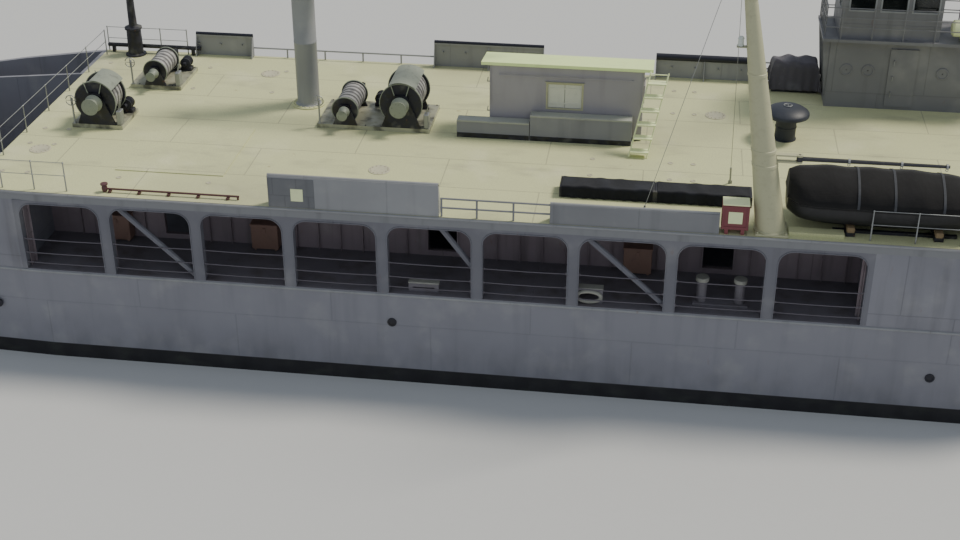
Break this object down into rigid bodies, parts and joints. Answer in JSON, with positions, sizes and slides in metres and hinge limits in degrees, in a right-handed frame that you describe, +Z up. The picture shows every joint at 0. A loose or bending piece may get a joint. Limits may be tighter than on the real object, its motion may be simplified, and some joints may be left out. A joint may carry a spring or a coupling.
{
  "type": "military landing craft",
  "caption": "Flat-bottomed landing craft with bow ramp, stern gate, side galleries, cargo deck, crane, winches and wheelhouse.",
  "frame": {"origin": "amidships on the centreline, on the flat bottom of the hull", "axes": "+X towards the bow, +Y to port, +Z up"},
  "size_m": [39, 12, 15.5164],
  "materials": {
    "hull_paint": "weathered semi-matt grey",
    "gallery_paint": "weathered semi-matt light grey",
    "house_paint": "semi-matt grey",
    "locker_paint": "semi-matt grey-green",
    "deck_paint": "rough non-skid cream, sun-bleached",
    "dark_paint": "greasy dark grey",
    "white_paint": "gloss white, chalked",
    "bottom_paint": "matt black bottom paint",
    "bronze": "polished cast bronze, dulled",
    "canvas_cover": "dark canvas over a metal boat"
  },
  "bodies": {
    "hull": {"hull_centre": "hull_paint", "wing_port": "hull_paint", "wing_starboard": "hull_paint", "stern_block_port": "hull_paint", "stern_block_starboard": "hull_paint", "bow_block_port": "hull_paint", "bow_block_starboard": "hull_paint", "gallery_side_port": "gallery_paint", "gallery_side_starboard": "gallery_paint", "gallery_inner_port": "gallery_paint", "gallery_inner_starboard": "gallery_paint", "upper_deck": "deck_paint", "shaft_bracket_port": "bottom_paint", "shaft_bracket_starboard": "bottom_paint", "bulwark_port_fwd": "hull_paint", "bulwark_port_aft": "hull_paint", "bulwark_starboard_fwd": "hull_paint", "bulwark_starboard_aft": "hull_paint", "emblem_locker": "locker_paint", "locker_fwd": "locker_paint", "locker_aft": "locker_paint", "deck_bin": "dark_paint", "mast_port": "white_paint", "workboat": "canvas_cover", "boat_cradle": "dark_paint", "deckhouse": "house_paint", "deckhouse_roof": "white_paint", "deckhouse_ladder": "white_paint", "crane_pedestal": "gallery_paint", "winch_main_frame": "dark_paint", "winch_bow_frame": "dark_paint", "winch_fore_frame": "dark_paint", "mushroom_vent": "dark_paint", "covered_generator": "canvas_cover", "island_house": "house_paint", "wheelhouse": "house_paint", "wheelhouse_roof": "gallery_paint", "funnel": "house_paint"},
    "bow_ramp": {"bow_ramp": "hull_paint"},
    "stern_gate": {"stern_gate": "hull_paint"},
    "propeller_port": {"propeller_port": "bronze"},
    "propeller_starboard": {"propeller_starboard": "bronze"},
    "rudder_port": {"rudder_port": "bottom_paint"},
    "rudder_starboard": {"rudder_starboard": "bottom_paint"},
    "emblem_locker_lid": {"emblem_locker_lid": "white_paint"},
    "locker_fwd_lid": {"locker_fwd_lid": "locker_paint"},
    "locker_aft_lid": {"locker_aft_lid": "locker_paint"},
    "bin_lid_fwd": {"bin_lid_fwd": "dark_paint"},
    "bin_lid_aft": {"bin_lid_aft": "dark_paint"},
    "boat_boom": {"boat_boom": "white_paint"},
    "deckhouse_door": {"deckhouse_door": "house_paint"},
    "island_door": {"island_door": "house_paint"},
    "wheelhouse_door": {"wheelhouse_door": "house_paint"},
    "crane_head": {"crane_head": "gallery_paint"},
    "crane_jib": {"crane_jib": "gallery_paint"},
    "winch_main_drum_fwd": {"winch_main_drum_fwd": "dark_paint"},
    "winch_main_drum_aft": {"winch_main_drum_aft": "dark_paint"},
    "winch_bow_drum": {"winch_bow_drum": "dark_paint"},
    "winch_fore_drum": {"winch_fore_drum": "dark_paint"},
    "radar_scanner": {"radar_scanner": "white_paint"}
  },
  "joints": [
    {"name": "ramp_hinge", "type": "hinge", "parent": "hull", "child": "bow_ramp", "pos_m": [17.64, 0, 1.86], "axis": [0, 1, 0], "range_deg": [0, 90]},
    {"name": "gate_hinge", "type": "hinge", "parent": "hull", "child": "stern_gate", "pos_m": [-18.95, 0, 1.86], "axis": [0, -1, 0], "range_deg": [0, 100]},
    {"name": "propeller_port_spin", "type": "hinge", "parent": "hull", "child": "propeller_port", "pos_m": [-17.1, 4.3, 0.76], "axis": [1, 0, 0], "continuous": true},
    {"name": "propeller_starboard_spin", "type": "hinge", "parent": "hull", "child": "propeller_starboard", "pos_m": [-17.1, -4.3, 0.76], "axis": [1, 0, 0], "continuous": true},
    {"name": "rudder_port_turn", "type": "hinge", "parent": "hull", "child": "rudder_port", "pos_m": [-18.35, 4.3, 1], "axis": [0, 0, 1], "range_deg": [-35, 35]},
    {"name": "rudder_starboard_turn", "type": "hinge", "parent": "hull", "child": "rudder_starboard", "pos_m": [-18.35, -4.3, 1], "axis": [0, 0, 1], "range_deg": [-35, 35]},
    {"name": "emblem_locker_lid_hinge", "type": "hinge", "parent": "hull", "child": "emblem_locker_lid", "pos_m": [-8.665, 5.48, 7.72], "axis": [1, 0, 0], "range_deg": [0, 100]},
    {"name": "locker_fwd_lid_hinge", "type": "hinge", "parent": "hull", "child": "locker_fwd_lid", "pos_m": [-1.125, -0.14, 7.36], "axis": [1, 0, 0], "range_deg": [0, 85]},
    {"name": "locker_aft_lid_hinge", "type": "hinge", "parent": "hull", "child": "locker_aft_lid", "pos_m": [-3.92, -0.14, 7.63], "axis": [1, 0, 0], "range_deg": [0, 85]},
    {"name": "bin_lid_fwd_hinge", "type": "hinge", "parent": "hull", "child": "bin_lid_fwd", "pos_m": [-5, 3.48, 7.12], "axis": [1, 0, 0], "range_deg": [0, 100]},
    {"name": "bin_lid_aft_hinge", "type": "hinge", "parent": "hull", "child": "bin_lid_aft", "pos_m": [-7.8, 3.48, 7.12], "axis": [1, 0, 0], "range_deg": [0, 100]},
    {"name": "boat_boom_slew", "type": "hinge", "parent": "hull", "child": "boat_boom", "pos_m": [-10.26, 5.52, 9.05], "axis": [0, 0, -1], "range_deg": [-80, 100]},
    {"name": "deckhouse_door_hinge", "type": "hinge", "parent": "hull", "child": "deckhouse_door", "pos_m": [-0.91, -1.32, 7.9], "axis": [0, 0, -1], "range_deg": [0, 110]},
    {"name": "island_door_hinge", "type": "hinge", "parent": "hull", "child": "island_door", "pos_m": [-14.65, -3.9, 7.9], "axis": [0, 0, 1], "range_deg": [0, 110]},
    {"name": "wheelhouse_door_hinge", "type": "hinge", "parent": "hull", "child": "wheelhouse_door", "pos_m": [-15.25, -5.5, 10.4], "axis": [0, 0, 1], "range_deg": [0, 100]},
    {"name": "crane_slew", "type": "hinge", "parent": "hull", "child": "crane_head", "pos_m": [5.4, -1.8, 11.2], "axis": [0, 0, 1], "range_deg": [-170, 170]},
    {"name": "crane_luff", "type": "hinge", "parent": "crane_head", "child": "crane_jib", "pos_m": [5.15, -1.8, 12.25], "axis": [0, 1, 0], "range_deg": [0, 70]},
    {"name": "winch_main_drum_fwd_turn", "type": "hinge", "parent": "hull", "child": "winch_main_drum_fwd", "pos_m": [3.72, -0.9, 7.44], "axis": [0, 1, 0], "continuous": true},
    {"name": "winch_main_drum_aft_turn", "type": "hinge", "parent": "hull", "child": "winch_main_drum_aft", "pos_m": [1.88, -0.9, 7.74], "axis": [0, 1, 0], "continuous": true},
    {"name": "winch_bow_drum_turn", "type": "hinge", "parent": "hull", "child": "winch_bow_drum", "pos_m": [10.95, -3.3, 7.42], "axis": [0, 1, 0], "continuous": true},
    {"name": "winch_fore_drum_turn", "type": "hinge", "parent": "hull", "child": "winch_fore_drum", "pos_m": [11.7, 0.45, 7.72], "axis": [0, 1, 0], "continuous": true},
    {"name": "radar_spin", "type": "hinge", "parent": "hull", "child": "radar_scanner", "pos_m": [-13.9, -4.87, 14.6], "axis": [0, 0, 1], "continuous": true}
  ]
}
